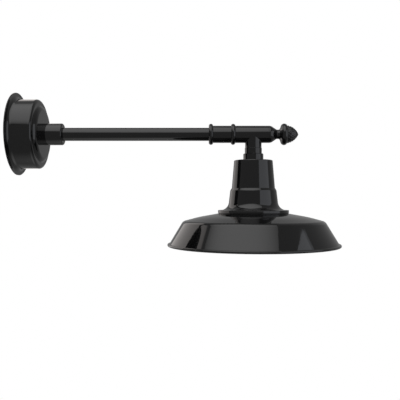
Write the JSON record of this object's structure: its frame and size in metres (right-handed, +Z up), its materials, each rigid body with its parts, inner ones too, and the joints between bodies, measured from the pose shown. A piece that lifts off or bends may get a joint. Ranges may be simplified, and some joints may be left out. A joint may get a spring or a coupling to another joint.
{
  "type": "barn light",
  "caption": "Black wall barn light: round canopy, straight arm, tee with pinecone finial, stepped neck and a wide flared shade over a frosted LED lens; the head rolls and swivels.",
  "frame": {"origin": "centre of the canopy's back rim, on the wall and midway between the two box screws", "axes": "+X out of the wall along the arm, +Z up, +Y to the right when facing the wall's lamp from its tip"},
  "size_m": [0.6585, 0.3514, 0.3125],
  "materials": {
    "black_painted_steel": "gloss",
    "black_painted_casting": "gloss",
    "zinc_plated_steel": "satin",
    "stainless_screws": "satin",
    "black_oxide_steel": "satin",
    "green_screw": "satin",
    "nylon": "satin",
    "cable_jacket": "matte",
    "silicone": "matte",
    "bare_aluminium": "satin",
    "white_painted_ring": "satin",
    "frosted_polycarbonate": "matte",
    "board_mask": "satin",
    "led_phosphor": "matte",
    "lead_insulation": "satin",
    "driver_plastic": "matte"
  },
  "bodies": {
    "wall_arm": {"canopy": "black_painted_steel", "crossbar": "zinc_plated_steel", "ground_screw": "green_screw", "canopy_nipple": "zinc_plated_steel", "crossbar_locknuts": "zinc_plated_steel", "canopy_bushing": "nylon", "collar": "black_painted_casting", "collar_set_screw": "black_oxide_steel", "arm_tube": "black_painted_steel", "arm_cable": "cable_jacket"},
    "tee": {"tee_fitting": "black_painted_casting", "tee_set_screw": "black_oxide_steel", "finial": "black_painted_casting", "stem_nipple": "zinc_plated_steel", "stem_locknut": "zinc_plated_steel", "stem_bushing": "nylon", "tee_cable": "cable_jacket"},
    "head": {"stem_coupling": "black_painted_casting", "coupling_set_screw": "black_oxide_steel", "neck_cap": "black_painted_casting", "neck_seal": "silicone", "neck_base": "black_painted_casting", "flange_gasket": "silicone", "shade": "black_painted_steel", "led_plate": "bare_aluminium", "led_board": "board_mask", "board_screws": "zinc_plated_steel", "led_chips": "led_phosphor", "led_leads": "lead_insulation", "lens": "frosted_polycarbonate", "lens_ring": "white_painted_ring", "clamp_screws": "stainless_screws", "driver_case": "driver_plastic", "driver_screws": "zinc_plated_steel", "head_cable": "cable_jacket"}
  },
  "joints": [
    {"name": "tee_roll", "type": "hinge", "parent": "wall_arm", "child": "tee", "pos_m": [0.44, 0, 0], "axis": [1, 0, 0], "range_deg": [-90, 90]},
    {"name": "head_swivel", "type": "hinge", "parent": "tee", "child": "head", "pos_m": [0.4827, 0, -0.0282], "axis": [0, 0, 1], "range_deg": [-180, 180]}
  ]
}
